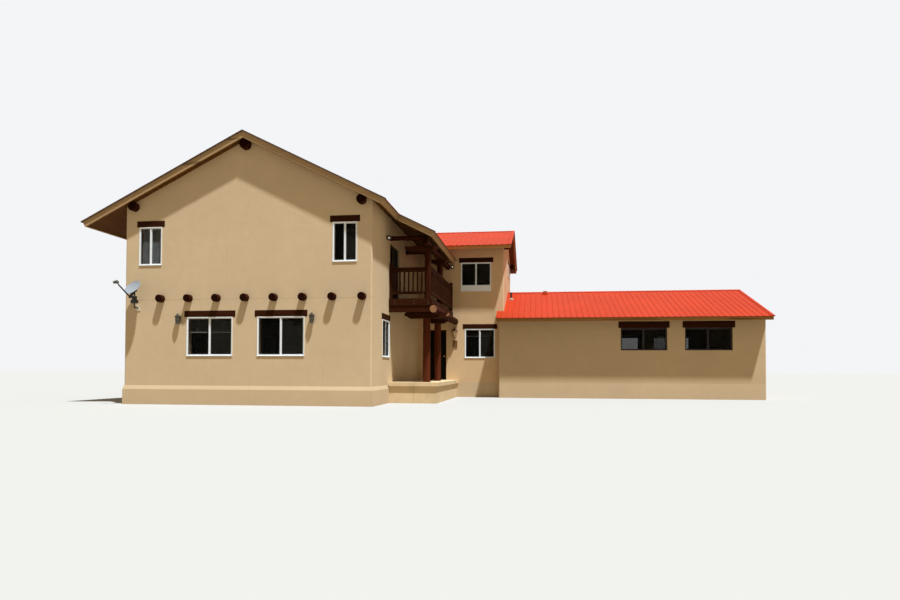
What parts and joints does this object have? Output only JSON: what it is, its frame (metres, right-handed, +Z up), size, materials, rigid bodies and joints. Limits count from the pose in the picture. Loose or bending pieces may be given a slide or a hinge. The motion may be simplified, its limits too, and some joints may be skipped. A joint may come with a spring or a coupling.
{
  "type": "adobe house",
  "caption": "Stuccoed adobe house of joined one- and two-storey masses with red metal roofs, log vigas, a corner balcony over a porch, and a front door that swings.",
  "frame": {"origin": "lowest ground level, under the main ridge at the outer face of the main front wall", "axes": "+X along the front towards the low wing, +Y to the back, +Z up"},
  "size_m": [23.2, 16.0246, 8.5],
  "materials": {
    "plinth": "rough stucco",
    "stucco": "sand-finished stucco",
    "concrete": "trowelled",
    "floor_boards": "satin",
    "log": "oiled, checked",
    "dark_timber": "stained",
    "deck_timber": "raw",
    "soffit_boards": "stained",
    "fascia_paint": "painted",
    "red_metal": "satin",
    "white_vinyl": "satin",
    "bronze_frame": "satin",
    "window_glass": "clear, tinted",
    "door_paint": "satin paint",
    "old_brass": "aged",
    "light_metal": "satin",
    "plaque": "glazed",
    "dish_grey": "satin",
    "vent_metal": "galvanised"
  },
  "bodies": {
    "house": {"foundation_walls": "plinth", "ground_floor": "concrete", "upper_floor": "floor_boards", "porch_slab": "concrete", "main_front_wall_lower": "stucco", "main_front_wall_upper": "stucco", "main_left_wall": "stucco", "main_rear_wall": "stucco", "main_right_wall": "stucco", "main_inner_wall": "stucco", "central_front_wall_lower": "stucco", "central_front_wall_upper": "stucco", "central_right_wall": "stucco", "central_rear_wall": "stucco", "wing_front_wall": "stucco", "wing_right_wall": "stucco", "wing_rear_wall": "stucco", "main_roof_metal": "red_metal", "central_roof_metal": "red_metal", "wing_roof_metal": "red_metal", "roof_decks": "deck_timber", "roof_boards": "soffit_boards", "main_fascia": "fascia_paint", "central_fascia": "fascia_paint", "wing_fascia": "fascia_paint", "vigas": "log", "roof_logs": "log", "lintels": "dark_timber", "house_window_frames": "white_vinyl", "wing_window_frames": "bronze_frame", "balcony_door_frame": "bronze_frame", "window_glass": "window_glass", "front_door_frame": "dark_timber", "hinge_pins": "old_brass", "log_posts": "log", "corbels": "dark_timber", "log_beams": "log", "balcony_floor": "dark_timber", "balcony_railing": "dark_timber", "wall_lights": "light_metal", "door_plaque": "plaque", "satellite_dish": "dish_grey", "roof_vents": "vent_metal"},
    "door_leaf": {"front_door": "door_paint", "door_hardware": "old_brass"}
  },
  "joints": [
    {"name": "front_door_hinge", "type": "hinge", "parent": "house", "child": "door_leaf", "pos_m": [4.2985, 7.719, 1.7], "axis": [0, 0, 1], "range_deg": [0, 90]}
  ]
}
